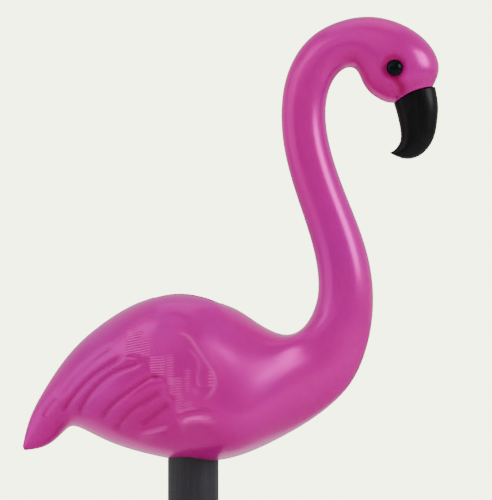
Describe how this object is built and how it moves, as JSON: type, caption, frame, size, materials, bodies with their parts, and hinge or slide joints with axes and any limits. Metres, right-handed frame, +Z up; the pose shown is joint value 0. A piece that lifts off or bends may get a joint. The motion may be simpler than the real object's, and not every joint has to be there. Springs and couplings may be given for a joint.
{
  "type": "solar garden light, flamingo on a pole",
  "caption": "Solar garden light: a pink moulded flamingo with a black beak and bead eyes, and a solar cell let into its back, on a dark pole cut off flat at the ground.",
  "frame": {"origin": "centre of the pole's flat end, where it is cut off at the ground", "axes": "+Z up along the pole, +X the way the bird looks, +Y to the bird's left"},
  "size_m": [0.1718, 0.0642, 0.4233],
  "materials": {
    "pink_plastic": "pearly satin moulded plastic",
    "black_plastic": "satin moulded plastic",
    "eye_bead": "polished bead",
    "pole_plastic": "satin extruded plastic",
    "solar_cell": "dark cell under a clear cover"
  },
  "bodies": {
    "root": {"flamingo": "pink_plastic", "beak": "black_plastic", "eye_right": "eye_bead", "eye_left": "eye_bead", "pole": "pole_plastic", "solar_panel": "solar_cell"}
  },
  "joints": []
}
